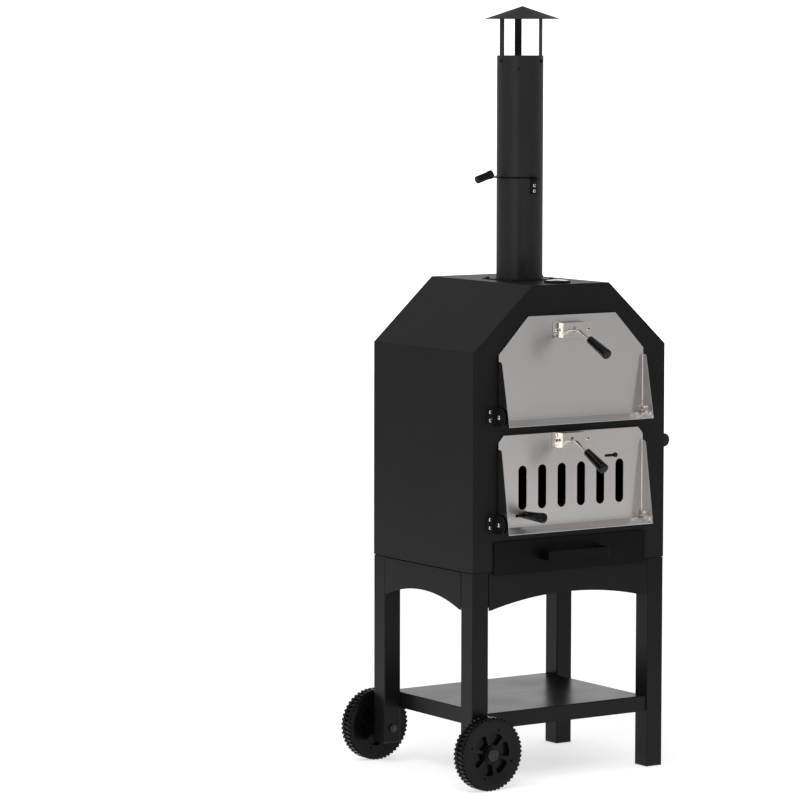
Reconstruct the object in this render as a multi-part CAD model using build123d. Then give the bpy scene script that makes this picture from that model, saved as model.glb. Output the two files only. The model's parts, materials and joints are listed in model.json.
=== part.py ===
from build123d import *
import os
from math import atan2, cos, radians, sin, sqrt

# Wood fired pizza oven on a wheeled stand, in millimetres.
# It is laid out about the centre of the body: x = 0 and y = 0 there, z = 0 on the ground.
# The front faces -Y, the wheels are on the -X side and the push handle on the +X side.
# The finished parts are then moved so that the origin is the centre of the footprint's box.

# ---- sheet metal and clearances ----
sheet = 1.2  # body and door sheet
steel = 2.0  # brackets, plates and bars
gap = 0.6  # free space beside a lever
running = 0.06  # radial clearance of a part that turns
seat = 0.02  # clearance of a part that sits still
drill = 2.0  # radius of screw and rivet holes
past = 1.0  # how far a cutter runs past the metal

# ---- body ----
body_width = 480.0
body_depth = 360.0
seam_z = 436.0
seam_groove = 1.6
shoulder_z = 880.5
roof_z = 1011.0
shoulder_run = 144.0
fold_radius = 3.0
return_depth = 14.0
pan_lip = 15.0
mouth_corner = 4.0
half_w = body_width / 2
half_d = body_depth / 2
roof_half = half_w - shoulder_run
inner_half_w = half_w - sheet
inner_half_d = half_d - sheet

# ---- doors: both are bottom hinged ----
door_half = 181.0
door_face_y = -half_d - 5.0
door_back_y = door_face_y + sheet
door_return = 3.2
door_bend = 2.4
fold_inside = 2.0
lip_reach = 37.0
lip_drop = 8.5
upper_fold_z = 740.0
upper_top_z = 949.5
upper_top_half = 109.0
upper_side_z = 874.5
upper_wing_z = 861.0
lower_fold_z = 523.0
lower_top_z = 711.7
lower_top_half = 169.0
lower_side_z = 698.0
lower_wing_z = 684.0
wing_top_reach = 11.0
opening_half = 165.0
opening_top_half = 97.0
mouth_rise = 3.0
mouth_shoulder = 17.5
pivot_rise = 10.0
pivot_y = -half_d - 13.5
pin_radius = 3.0
ear_x = door_half + 3.5
ear_height = 38.0
ear_reach = 34.0
bracket_screw_x = 199.5
bracket_half = 14.0
bracket_screw_rise = 8.2
bracket_raise = 2.5

# ---- latches ----
upper_latch_z = 919.0
lower_latch_z = 695.0
upper_lever_x = -4.0
lower_lever_x = -8.5
hat_left = -32.0
hat_right = 24.0
hat_ear_left = -49.5
hat_ear_right = 48.0
hat_stand = 14.0
hat_splay = 2.6
hat_height = 30.5
hat_sheet = 1.5
hat_screw_x = 39.6
lever_radius = 2.5
lever_pin_radius = 2.0
lever_pin_y = door_face_y - 7.5
lever_level = 22.5
lever_slope_run = 39.0
lever_bend = 22.5
upper_sag = 1.5
lower_sag = 4.5
nose_back = 16.5
nose_rise = 5.0
latch_reveal = 9.0
grip_length = 66.5
grip_thin = 8.0
grip_thick = 10.6

# ---- vent in the lower door ----
slot_count = 6
slot_pitch = 48.7
slot_width = 20.4
slot_height = 90.0
slot_z = 603.8
vent_travel = 24.35
vent_knob_x = -112.0
vent_knob_z = 547.6
vent_guide_x = 111.0
vent_guide_z = 657.0
vent_slot_radius = 2.9
vent_pin_radius = 2.4
vent_grip_length = 59.0
vent_knob_stand = 1.8
shutter_front_y = door_back_y + 0.3

# ---- ash drawer ----
drawer_half = 190.0
drawer_top_z = 497.0
drawer_bottom_z = 428.7
tray_half = 178.0
tray_top_z = 490.0
tray_bottom_z = 441.0
tray_rear_y = 150.0
drawer_handle_half = 75.5
drawer_handle_reach = 32.0
drawer_handle_height = 18.0
drawer_handle_z = 464.5
drawer_opening_half = 183.0
drawer_mouth_low = 8.0
drawer_mouth_room = 3.0
drawer_back_y = -half_d - 1.8
drawer_sheet = 1.5

# ---- inside ----
ledge_reach = 27.0
runner_half_depth = 158.0
runner_sheet = 1.5
grid_ledge_z = 770.0
grate_ledge_z = 512.0
grid_length = 448.0
grid_depth = 318.0
grid_rod_radius = 3.0
grid_rods = 12
weld_sink = 0.5
stone_size = 310.0
stone_thickness = 12.0

# ---- chimney ----
pipe_radius = 47.75
pipe_wall = 1.2
flue_bore = pipe_radius - 2.4
pipe_top_z = 1470.5
collar_height = 9.0
flue_plate_size = 112.0
flue_screw_reach = 47.0
cap_radius = 78.5
cap_rim_z = 1545.0
cap_apex_z = 1571.0
cap_tip = 1.5
cap_offset = 3.0
strap_width = 14.5
strap_screw_z = 1459.0
strap_angles = (180.0, 300.0, 60.0)
damper_z = 1221.4
damper_radius = 45.4
damper_slot = 3.4
damper_pivot_y = -56.0
damper_pin = 2.0
damper_shelf = 1.6
damper_thickness = 1.5
damper_bracket_top = damper_z - damper_slot / 2 - 0.2
damper_bracket_front = -pipe_radius - 3.2
damper_rod_z = damper_z + 2.35

# ---- thermometer on the roof, in front of the flue ----
thermo_y = -133.0
bezel_radius = 27.0
bezel_height = 5.0
dial_radius = 22.8
dial_seat = 1.4
glass_seat = 3.6
glass_dome = 1.5
stem_radius = 3.0
hub_pin = 0.8

# ---- push handle on the right side ----
push_x = half_w + 51.0
push_z = 671.0
push_radius = 13.0
push_half = 115.0
push_wall = 1.5
push_cap_length = 6.0
push_foot = 3.0
push_post_y = 84.0

# ---- stand ----
leg_width = 39.0
leg_depth = 41.5
leg_wall = 1.5
short_leg_z = 47.0
apron_end_z = 359.0
end_fold_rise = 6.0
apron_gap = 1.0
apron_rise = 24.5
apron_foot = 5.0
apron_fold = 18.0
shelf_z = 149.0
shelf_flange = 32.5
shelf_half_w = half_w - leg_width - 0.25
shelf_half_d = 176.0
foot_cap = 8.0
foot_thickness = 3.0

# ---- wheels ----
wheel_radius = 74.5
wheel_width = 30.0
wheel_gap = 12.0
lug_count = 48
lug_height = 4.0
hub_radius = 16.5
axle_radius = 5.0
axle_x = -half_w + leg_width / 2
wheel_inner_y = half_d + wheel_gap
wheel_outer_y = wheel_inner_y + wheel_width

pivot_upper_z = upper_fold_z + pivot_rise
pivot_lower_z = lower_fold_z + pivot_rise
plate_top = roof_z + steel


# ---------------------------------------------------------------- helpers
def block(x0, x1, y0, y1, z0, z1):
    """A box between two opposite corners."""
    size = (x1 - x0, y1 - y0, z1 - z0)
    centre = ((x0 + x1) / 2, (y0 + y1) / 2, (z0 + z1) / 2)
    return Pos(*centre) * Box(*size)


def round_bar(start, end, radius):
    """A cylinder from one point to another."""
    start = Vector(*start)
    end = Vector(*end)
    along = end - start
    base = Plane(origin=start, z_dir=along)
    return base * Cylinder(radius, along.length, align=(Align.CENTER, Align.CENTER, Align.MIN))


def tube(start, end, outer, inner):
    """A round tube from one point to another."""
    return round_bar(start, end, outer) - round_bar(start, end, inner)


def front_plate(face, y0, y1):
    """A face drawn as (x, z), given thickness from y0 back to y1."""
    return extrude(Plane.XZ.offset(-y1) * face, amount=y1 - y0)


def side_plate(face, x0, x1):
    """A face drawn as (y, z), given thickness from x0 to x1."""
    return extrude(Plane.YZ.offset(x0) * face, amount=x1 - x0)


def outline(points):
    """A closed face through the points."""
    return make_face(Polyline(*points, close=True))


def mirrored_x(part):
    """The part and its mirror image across x = 0."""
    return [part, mirror(part, about=Plane.YZ)]


def bent_rod(points, bend, radius):
    """A round rod along straight runs with equal bends."""
    path = FilletPolyline(*points, radius=bend)
    start = Plane(origin=path @ 0, z_dir=path % 0)
    return sweep(start * Circle(radius), path=path)


def screw_head(point, direction, radius, height):
    """A low domed head that stands on a surface."""
    head = Cylinder(radius, height, align=(Align.CENTER, Align.CENTER, Align.MIN))
    head = fillet(head.edges().group_by(Axis.Z)[-1], height * 0.6)
    return Plane(origin=Vector(*point), z_dir=Vector(*direction)) * head


def screw(point, direction, radius, height, shank_radius, shank_length):
    """A domed head with a plain shank behind it."""
    point = Vector(*point)
    along = Vector(*direction).normalized()
    shank = round_bar(point - along * shank_length, point + along * (height / 2), shank_radius)
    return screw_head(point, along, radius, height) + shank


def hex_nut(point, direction, across, height, hole):
    """A hexagon nut standing on a surface."""
    across_corners = across / sqrt(3)
    nut = extrude(RegularPolygon(across_corners, 6), amount=height)
    nut -= Cylinder(hole, height * 3)
    return Plane(origin=Vector(*point), z_dir=Vector(*direction)) * nut


def tapered_grip(start, direction, length):
    """A moulded grip, thin where the rod enters and thick at its free end."""
    body = Cone(grip_thin, grip_thick, length, align=(Align.CENTER, Align.CENTER, Align.MIN))
    body = fillet(body.edges().group_by(Axis.Z)[-1], 4.0)
    body = fillet(body.edges().group_by(Axis.Z)[0], 1.5)
    return Plane(origin=Vector(*start), z_dir=Vector(*direction)) * body


# ---------------------------------------------------------------- body
def body_outline(inset):
    """The body's front view, drawn in by the inset on every side but the bottom."""
    slope = atan2(roof_z - shoulder_z, shoulder_run)
    corner = inset * sin(slope / 2) / cos(slope / 2)
    shoulder_drop = inset * (1 - cos(slope)) / sin(slope)
    wall = half_w - inset
    top = roof_z - inset
    roof = roof_half - corner
    shoulder = shoulder_z - shoulder_drop
    low = seam_z + seam_groove
    points = [(-wall, low), (-wall, shoulder), (-roof, top), (roof, top), (wall, shoulder), (wall, low)]
    face = outline(points)
    corners = [v for v in face.vertices() if v.Y > low + 1]
    return fillet(corners, fold_radius - inset)


def flue_holes():
    """Cutters through the roof for the flue and for the thermometer's stem."""
    stem_room = 0.3
    flue = Pos(0, 0, roof_z) * Cylinder(flue_bore, return_depth)
    stem = Pos(0, thermo_y, roof_z) * Cylinder(stem_radius + stem_room, return_depth)
    return flue + stem


def outer_shell():
    """Sides, shoulders and roof, bent from one sheet."""
    solid = front_plate(body_outline(0), -inner_half_d, inner_half_d)
    hollow = front_plate(body_outline(sheet), -half_d, half_d)
    return solid - hollow - flue_holes()


def panel_return(y0, y1):
    """The edge of a panel, folded in against the shell's sides and roof."""
    ring = body_outline(sheet + seat) - body_outline(2 * sheet)
    above_floor = block(-half_w, half_w, -half_d, half_d, seam_z - past, seam_z + pan_lip + past)
    return front_plate(ring, y0, y1) - above_floor


def upper_opening():
    """The cooking chamber's mouth, as (x, z)."""
    top = upper_latch_z + latch_reveal
    side = upper_side_z - mouth_shoulder
    bottom = pivot_upper_z + mouth_rise
    points = [
        (-opening_half, bottom),
        (-opening_half, side),
        (-opening_top_half, top),
        (opening_top_half, top),
        (opening_half, side),
        (opening_half, bottom),
    ]
    return fillet(outline(points).vertices(), mouth_corner)


def plain_opening(half, bottom, top):
    """A mouth with square sides and rounded corners, as (x, z)."""
    return Pos(0, (bottom + top) / 2) * RectangleRounded(2 * half, top - bottom, mouth_corner)


def front_panel():
    """The flat front with the mouths of both chambers and of the drawer."""
    panel = front_plate(body_outline(0), -half_d, -inner_half_d)
    lower = plain_opening(opening_half, pivot_lower_z + mouth_rise, lower_latch_z + latch_reveal)
    drawer = plain_opening(drawer_opening_half, seam_z - drawer_mouth_low, tray_top_z + drawer_mouth_room)
    for mouth in (upper_opening(), lower, drawer):
        panel -= front_plate(mouth, -half_d - past, -inner_half_d + past)
    for x, z in bracket_screw_points():
        panel -= round_bar((x, -half_d - past, z), (x, -inner_half_d + past, z), drill)
    return panel + panel_return(-inner_half_d, -inner_half_d + return_depth)


def rear_panel():
    """The plain back."""
    panel = front_plate(body_outline(0), inner_half_d, half_d)
    return panel + panel_return(inner_half_d - return_depth, inner_half_d)


def base_pan():
    """The floor of the body, with its sides turned up."""
    edge = inner_half_w - sheet
    rear = inner_half_d
    top = seam_z + pan_lip
    pan = block(-edge, edge, -rear, rear, seam_z, seam_z + sheet)
    for side in (-1, 1):
        x0, x1 = sorted((side * edge, side * (edge - sheet)))
        pan += block(x0, x1, -rear, rear, seam_z, top)
    return pan + block(-edge, edge, rear - sheet, rear, seam_z, top)


def side_runners(ledge_z):
    """A pair of angles on the side walls, whose ledges carry a grid."""
    drop = 14.0
    depth = runner_half_depth
    parts = []
    for side in (-1, 1):
        wall = side * (inner_half_w - seat)
        face = side * (inner_half_w - runner_sheet)
        toe = side * (inner_half_w - ledge_reach)
        x0, x1 = sorted((wall, face))
        angle = block(x0, x1, -depth, depth, ledge_z - drop, ledge_z)
        x0, x1 = sorted((wall, toe))
        angle += block(x0, x1, -depth, depth, ledge_z - runner_sheet, ledge_z)
        parts.append(angle)
    return parts


def drawer_runners():
    """A pair of angles on the floor that guide the ash drawer's sides."""
    play = 1.0
    foot = 16.0
    height = 20.0
    front = -runner_half_depth
    floor = seam_z + sheet
    parts = []
    for side in (-1, 1):
        inner = side * (tray_half + play)
        outer = side * (tray_half + play + runner_sheet)
        toe = side * (tray_half + foot)
        x0, x1 = sorted((inner, outer))
        angle = block(x0, x1, front, tray_rear_y, floor, floor + height)
        x0, x1 = sorted((inner, toe))
        angle += block(x0, x1, front, tray_rear_y, floor, floor + runner_sheet)
        parts.append(angle)
    return parts


def cooking_grid():
    """Long rods welded across three cross rods."""
    cross_z = grid_ledge_z + grid_rod_radius
    long_z = cross_z + 2 * grid_rod_radius - weld_sink
    cross_half = grid_depth / 2
    long_half = grid_length / 2
    inset = 2 * grid_rod_radius
    pitch = (grid_depth - 2 * inset) / (grid_rods - 1)
    grid = Part()
    for x in (-long_half + inset, 0, long_half - inset):
        grid += round_bar((x, -cross_half, cross_z), (x, cross_half, cross_z), grid_rod_radius)
    for i in range(grid_rods):
        y = -cross_half + inset + i * pitch
        grid += round_bar((-long_half, y, long_z), (long_half, y, long_z), grid_rod_radius)
    return grid


def stone_base_z():
    """The height of the grid's top, where the stone lies."""
    return grid_ledge_z + 4 * grid_rod_radius - weld_sink


def pizza_stone():
    """A square fireclay slab with rounded corners and edges."""
    corner = 8.0
    edge = 2.5
    slab = extrude(RectangleRounded(stone_size, stone_size, corner), amount=stone_thickness)
    slab = fillet(slab.edges().group_by(Axis.Z)[-1], edge)
    return Pos(0, 0, stone_base_z()) * slab


def charcoal_grate():
    """A slotted tray on the lower ledges that holds the fire above the ash drawer."""
    half_x = 222.0
    half_y = 154.0
    lip = 16.0
    slots_per_row = 17
    slot_step = 24.0
    slot_half = 4.0
    row_y = 74.0
    row_half = 60.0
    low = grate_ledge_z
    tray = block(-half_x, half_x, -half_y, half_y, low, low + steel)
    for side in (-1, 1):
        y0, y1 = sorted((side * half_y, side * (half_y - steel)))
        tray += block(-half_x, half_x, y0, y1, low, low + lip)
    for i in range(slots_per_row):
        x = (i - (slots_per_row - 1) / 2) * slot_step
        for y in (-row_y, row_y):
            x0, x1 = x - slot_half, x + slot_half
            tray -= block(x0, x1, y - row_half, y + row_half, low - past, low + steel + past)
    return tray


# ---------------------------------------------------------------- doors
def door_lip(fold_z):
    """The lip, which runs forward and slightly down from the fold at the door's foot."""
    front_y = door_face_y - lip_reach
    front_z = fold_z - lip_drop
    fold_top = fold_z + 3 * sheet
    section = outline(
        [
            (door_back_y, fold_z),
            (front_y, front_z),
            (front_y, front_z + sheet),
            (door_face_y, fold_z + sheet),
            (door_face_y, fold_top),
            (door_back_y, fold_top),
        ]
    )
    lip = side_plate(section, -door_half, door_half)
    back = lip.edges().filter_by(Axis.X).group_by(Axis.Y)[-1]
    return fillet(back.sort_by(Axis.Z)[0], door_bend)


def door_wing(fold_z, wing_z):
    """A wing's outline, an upright triangle with its top cut off, as (y, z)."""
    back_y = door_back_y - past / 20
    top_front_y = door_face_y - wing_top_reach
    chamfer = 4.0
    return outline(
        [
            (back_y, fold_z + pivot_rise / 2),
            (door_face_y - 3, fold_z - 0.2),
            (door_face_y - lip_reach, fold_z - lip_drop + sheet / 2),
            (top_front_y, wing_z - chamfer),
            (top_front_y + chamfer, wing_z),
            (back_y, wing_z),
        ]
    )


def door_sheet(fold_z, side_z, top_z, top_half, wing_z):
    """A stainless door: face, side wings, sloping bottom lip and returns, bent from one sheet."""
    corner = 3.0
    face_bottom = fold_z + door_bend + sheet / 2
    face = outline(
        [
            (-door_half, face_bottom),
            (-door_half, side_z),
            (-top_half, top_z),
            (top_half, top_z),
            (door_half, side_z),
            (door_half, face_bottom),
        ]
    )
    upper_corners = [v for v in face.vertices() if v.Y > face_bottom + past]
    face = fillet(upper_corners, corner)
    door = front_plate(face, door_face_y, door_back_y) + door_lip(fold_z)
    wing = door_wing(fold_z, wing_z)
    for side in (-1, 1):
        x0, x1 = sorted((side * door_half, side * (door_half - sheet)))
        door += side_plate(wing, x0, x1)
    door = fillet(inside_folds(door), fold_inside)
    # the top and the shoulders return towards the body
    ring = face - offset(face, -sheet)
    returns = front_plate(ring, door_back_y, door_back_y + door_return)
    below = block(-half_w, half_w, door_face_y, -half_d, fold_z - lip_drop, side_z - 2)
    return door + (returns - below)


def inside_folds(door):
    """The upright edges where the wings meet the door's face."""
    upright = door.edges().filter_by(Axis.Z)
    level = [e for e in upright if abs(e.center().Y - door_face_y) < seat]
    return [e for e in level if abs(abs(e.center().X) - door_half + sheet) < seat]


def hinge_cut(fold_z):
    """The holes for a door's hinge pins."""
    z = fold_z + pivot_rise
    return round_bar((-half_w, pivot_y, z), (half_w, pivot_y, z), pin_radius + running)


def latch_cut(latch_z, lever_x):
    """The slot in a door's face for the lever's nose, and its two rivet holes."""
    slot_half = 8.0
    half = lever_radius + gap
    front = door_face_y - past
    back = door_back_y + past
    cut = block(lever_x - half, lever_x + half, front, back, latch_z - slot_half, latch_z + slot_half)
    for x in (-hat_screw_x, hat_screw_x):
        cut += round_bar((x, front, latch_z), (x, back, latch_z), drill)
    return cut


def upper_door_sheet():
    door = door_sheet(upper_fold_z, upper_side_z, upper_top_z, upper_top_half, upper_wing_z)
    return door - hinge_cut(upper_fold_z) - latch_cut(upper_latch_z, upper_lever_x)


def stadium(x, z, width, height):
    """An upright slot with round ends, as (x, z)."""
    return Pos(x, z) * Rot(0, 0, 90) * SlotOverall(height, width)


def vent_slot_face():
    """The vent's row of upright slots, as (x, z)."""
    faces = Sketch()
    for i in range(slot_count):
        x = (i - (slot_count - 1) / 2) * slot_pitch
        faces += stadium(x, slot_z, slot_width, slot_height)
    return faces


def guide_slot(x, z):
    """A level slot in which a vent pin slides, as (x, z)."""
    length = vent_travel + 2 * vent_slot_radius
    return Pos(x - vent_travel / 2, z) * SlotOverall(length, 2 * vent_slot_radius)


def lower_door_sheet():
    door = door_sheet(lower_fold_z, lower_side_z, lower_top_z, lower_top_half, lower_wing_z)
    knob_slot = guide_slot(vent_knob_x, vent_knob_z)
    for face in (vent_slot_face(), knob_slot, guide_slot(vent_guide_x, vent_guide_z)):
        door -= front_plate(face, door_face_y - past, door_back_y + past)
    return door - hinge_cut(lower_fold_z) - latch_cut(lower_latch_z, lower_lever_x)


def vent_shutter():
    """The slotted plate behind the lower door, open where its slots meet the door's."""
    left = -136.0
    right = 160.0
    margin = 8.5
    back = shutter_front_y + sheet
    plate = block(left, right, shutter_front_y, back, vent_knob_z - margin, vent_guide_z + margin)
    plate -= front_plate(vent_slot_face(), shutter_front_y - past, back + past)
    for x, z in ((vent_knob_x, vent_knob_z), (vent_guide_x, vent_guide_z)):
        plate -= round_bar((x, shutter_front_y - past, z), (x, back + past, z), vent_pin_radius)
    return plate


def vent_grip():
    """The vent's grip, standing straight out of the door."""
    foot = (vent_knob_x, door_face_y - vent_knob_stand, vent_knob_z)
    return tapered_grip(foot, (0, -1, 0), vent_grip_length)


def vent_pin(x, z, stand):
    """A pin through the shutter and the door, with a flat rear head."""
    rear_head = 4.6
    rear_height = 1.6
    back = shutter_front_y + sheet
    pin = round_bar((x, back + rear_height, z), (x, door_face_y - stand, z), vent_pin_radius)
    return pin + round_bar((x, back, z), (x, back + rear_height, z), rear_head)


def vent_pins():
    """The pins that carry the shutter: one under the grip and one guide screw."""
    washer_radius = 5.6
    washer_back_y = door_face_y - 0.4
    guide_stand = 0.5
    knob_pin = vent_pin(vent_knob_x, vent_knob_z, vent_knob_stand)
    washer_front = (vent_knob_x, door_face_y - vent_knob_stand, vent_knob_z)
    knob_pin += round_bar((vent_knob_x, washer_back_y, vent_knob_z), washer_front, washer_radius)
    guide_pin = vent_pin(vent_guide_x, vent_guide_z, guide_stand)
    guide_pin += screw_head((vent_guide_x, door_face_y - guide_stand, vent_guide_z), (0, -1, 0), 4.8, 2.6)
    return [knob_pin, guide_pin]


def bracket_screw_heights(pivot_z):
    """The heights of a hinge bracket's two screws."""
    middle = pivot_z + bracket_raise
    return middle - bracket_screw_rise, middle + bracket_screw_rise


def bracket_screw_points():
    """Where the hinge brackets are screwed to the front, as (x, z)."""
    points = []
    for pivot_z in (pivot_upper_z, pivot_lower_z):
        for side in (-1, 1):
            points += [(side * bracket_screw_x, z) for z in bracket_screw_heights(pivot_z)]
    return points


def hinge_bracket(side, pivot_z):
    """An angle: a foot screwed to the front, and a round ear that holds the hinge pin."""
    foot_margin = 8.0
    foot_corner = 4.0
    radius = ear_height / 2
    centre_y = -half_d - ear_reach + radius
    round_end = Pos(centre_y, pivot_z) * Circle(radius)
    root = Pos((centre_y - half_d) / 2, pivot_z) * Rectangle(-half_d - centre_y, ear_height)
    ear = side_plate(round_end + root, ear_x, ear_x + steel)
    low = pivot_z - bracket_half
    high = pivot_z + 2 * bracket_raise + bracket_half
    foot = block(ear_x, bracket_screw_x + foot_margin, -half_d - steel, -half_d, low, high)
    outer_corners = foot.edges().filter_by(Axis.Y).group_by(Axis.X)[-1]
    bracket = ear + fillet(outer_corners, foot_corner)
    bracket -= block(0, half_w, -half_d, half_d, pivot_z - ear_height, pivot_z + ear_height)
    bracket -= round_bar((0, pivot_y, pivot_z), (half_w, pivot_y, pivot_z), pin_radius)
    for z in bracket_screw_heights(pivot_z):
        bracket -= round_bar((bracket_screw_x, -half_d - 2 * steel, z), (bracket_screw_x, -half_d, z), drill)
    return bracket if side > 0 else mirror(bracket, about=Plane.YZ)


def bracket_screws():
    """The domed screws of the four hinge brackets."""
    parts = []
    for x, z in bracket_screw_points():
        parts.append(screw((x, -half_d - steel, z), (0, -1, 0), 3.8, 2.2, 2.0, 8.0))
    return parts


def hinge_pins(pivot_z):
    """A shouldered pin on each side, held in its ear and turning in the door's wing."""
    nut_height = 3.5
    nut_outer = door_half - sheet - 0.5
    nut_inner = nut_outer - nut_height
    outer = ear_x + steel

    def round_part(x0, x1, radius):
        return round_bar((x0, pivot_y, pivot_z), (x1, pivot_y, pivot_z), radius)

    pin = round_part(nut_inner - past, outer + past, pin_radius)
    pin += round_part(nut_inner, nut_outer, 4.8)
    pin += round_part(door_half + 0.4, ear_x, 5.0)
    pin += screw_head((outer, pivot_y, pivot_z), (1, 0, 0), 5.2, 3.0)
    return mirrored_x(pin)


def corner_screws(fold_z):
    """The small screws that join each wing to the lip."""
    parts = []
    for reach in (14.0, 27.0):
        y = door_face_y - reach
        z = fold_z - lip_drop * reach / lip_reach + 6.0
        parts += mirrored_x(screw_head((door_half - sheet, y, z), (-1, 0, 0), 3.0, 1.8))
    return parts


def latch_bracket(latch_z, lever_x):
    """A hat-shaped bracket with splayed legs on the door's face, which the lever turns in."""
    slot_below = 4.4
    slot_above = 6.4
    low = latch_z - hat_height / 2
    high = latch_z + hat_height / 2
    out = door_face_y - hat_stand
    ear_front = door_face_y - hat_sheet
    hat = block(hat_left, hat_right, out, out + hat_sheet, low, high)
    for side, outside, ear_end in ((-1, hat_left, hat_ear_left), (1, hat_right, hat_ear_right)):
        inside = outside - side * hat_sheet
        foot_outside = outside + side * hat_splay
        foot_inside = inside + side * hat_splay
        corners = [(outside, out), (foot_outside, door_face_y), (foot_inside, door_face_y), (inside, out)]
        hat += extrude(Pos(0, 0, low) * outline(corners), amount=high - low)
        x0, x1 = sorted((ear_end, foot_inside))
        hat += block(x0, x1, ear_front, door_face_y, low, high)
    x0 = lever_x - lever_radius - gap
    x1 = lever_x + lever_radius + gap
    slot_back = out + hat_sheet + past
    hat -= block(x0, x1, out - past, slot_back, latch_z - slot_below, latch_z + slot_above)
    pin_hole = lever_pin_radius + running
    hat -= round_bar((-half_w, lever_pin_y, latch_z), (half_w, lever_pin_y, latch_z), pin_hole)
    for x in (-hat_screw_x, hat_screw_x):
        hat -= round_bar((x, ear_front - past, latch_z), (x, door_face_y + past, latch_z), drill)
    return hat


def latch_screws(latch_z):
    """The two rivets that hold a latch bracket to its door."""
    parts = []
    for x in (-hat_screw_x, hat_screw_x):
        parts.append(screw((x, door_face_y - hat_sheet, latch_z), (0, -1, 0), 3.4, 1.8, 2.0, 4.0))
    return parts


def lever_points(latch_z, lever_x, sag):
    """The lever's centre line in the plane of its swing, from the nose out to the grip."""
    level = radians(sag)
    slope = radians(sag + lever_bend)
    bend_y = lever_pin_y - lever_level * cos(level)
    bend_z = latch_z - lever_level * sin(level)
    nose_y = lever_pin_y + nose_back
    nose_z = latch_z + nose_back * sin(level)
    return [
        (lever_x, nose_y, nose_z + nose_rise),
        (lever_x, nose_y, nose_z),
        (lever_x, bend_y, bend_z),
        (lever_x, bend_y - lever_slope_run * cos(slope), bend_z - lever_slope_run * sin(slope)),
    ]


def latch_lever(latch_z, lever_x, sag):
    """A bent rod with a cross pin; its nose catches in the chamber's mouth."""
    rod = bent_rod(lever_points(latch_z, lever_x, sag), 4.5, lever_radius)
    left = hat_left - hat_splay - past
    right = hat_right + hat_splay + past
    return rod + round_bar((left, lever_pin_y, latch_z), (right, lever_pin_y, latch_z), lever_pin_radius)


def latch_grip(latch_z, lever_x, sag):
    """The grip at the end of a latch lever."""
    slope = radians(sag + lever_bend)
    return tapered_grip(lever_points(latch_z, lever_x, sag)[-1], (0, -cos(slope), -sin(slope)), grip_length)


# ---------------------------------------------------------------- ash drawer
def ash_tray():
    """The drawer's open tray."""
    inner = tray_half - sheet
    front = drawer_back_y
    floor = tray_bottom_z + sheet
    solid = block(-tray_half, tray_half, front, tray_rear_y, tray_bottom_z, tray_top_z)
    return solid - block(-inner, inner, front + sheet, tray_rear_y - sheet, floor, tray_top_z + past)


def drawer_front():
    """The drawer's face, which overlaps the mouth on every side."""
    corner = 2.5
    height = drawer_top_z - drawer_bottom_z
    face = Pos(0, (drawer_top_z + drawer_bottom_z) / 2) * RectangleRounded(2 * drawer_half, height, corner)
    return front_plate(face, drawer_back_y - drawer_sheet, drawer_back_y)


def drawer_handle():
    """A flat bar bent twice into a pull."""
    outer_bend = 6.0
    toe_length = 14.0
    half = drawer_handle_half
    back = drawer_back_y - drawer_sheet
    front = back - drawer_handle_reach
    low = drawer_handle_z - drawer_handle_height / 2
    high = drawer_handle_z + drawer_handle_height / 2
    face = outline([(-half, back), (-half, front), (half, front), (half, back)])
    outer_face = fillet([v for v in face.vertices() if v.Y < back - past], outer_bend)
    hollow = Pos(0, back) * Rectangle(2 * (half - steel), 2 * (drawer_handle_reach - steel))
    inner_face = fillet(hollow.vertices(), outer_bend - steel)
    bar = extrude(Pos(0, 0, low) * (outer_face - inner_face), amount=high - low)
    for side in (-1, 1):
        x0, x1 = sorted((side * (half - toe_length), side * half))
        bar += block(x0, x1, back - steel, back, low, high)
    return bar


def drawer_screws():
    """The screws through the handle's feet, with their heads inside the tray."""
    inset = 8.0
    parts = []
    for x in (-drawer_handle_half + inset, drawer_handle_half - inset):
        parts.append(screw_head((x, drawer_back_y + sheet, drawer_handle_z), (0, 1, 0), 4.2, 2.4))
    return parts


# ---------------------------------------------------------------- chimney
def flue_plate():
    """The square plate on the roof with the spigot that the pipe stands over."""
    corner = 5.0
    spigot = pipe_radius - pipe_wall - seat
    spigot_height = steel + collar_height
    plate = extrude(RectangleRounded(flue_plate_size, flue_plate_size, corner), amount=steel)
    plate += Cylinder(spigot, spigot_height, align=(Align.CENTER, Align.CENTER, Align.MIN))
    return Pos(0, 0, roof_z) * (plate - Cylinder(flue_bore, 4 * spigot_height))


def flue_plate_screws():
    """The four screws at the plate's corners."""
    reach = flue_screw_reach
    places = [(x, y) for x in (-reach, reach) for y in (-reach, reach)]
    return [screw_head((x, y, plate_top), (0, 0, 1), 4.2, 2.6) for x, y in places]


def chimney_pipe():
    """The round flue pipe, with the damper's slot in its left half."""
    slot_right = 7.0
    clear = 2 * pipe_radius
    pipe = tube((0, 0, plate_top), (0, 0, pipe_top_z), pipe_radius, pipe_radius - pipe_wall)
    cut = block(-clear, slot_right, -clear, clear, damper_z - damper_slot / 2, damper_z + damper_slot / 2)
    return pipe - cut


def collar_screws():
    """Small screws that hold the pipe to its spigot."""
    z = plate_top + collar_height / 2
    return [pipe_screw(angle, z, 2.4, 1.6) for angle in (250.0, 330.0, 130.0)]


def cap_cone():
    """The cap's outside, as a solid cone standing on its rim."""
    rise = cap_apex_z - cap_rim_z
    return Cone(cap_radius, cap_tip, rise, align=(Align.CENTER, Align.CENTER, Align.MIN))


def chimney_cap():
    """A shallow sheet cone."""
    inner = Pos(0, 0, -sheet) * cap_cone()
    return Pos(cap_offset, -cap_offset, cap_rim_z) * (cap_cone() - inner)


def above_cap():
    """Everything from the cap's underside up."""
    height = 2 * (cap_apex_z - cap_rim_z)
    column = Cylinder(cap_radius, height, align=(Align.CENTER, Align.CENTER, Align.MIN))
    return Pos(cap_offset, -cap_offset, cap_rim_z - sheet) * (column - cap_cone())


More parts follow.
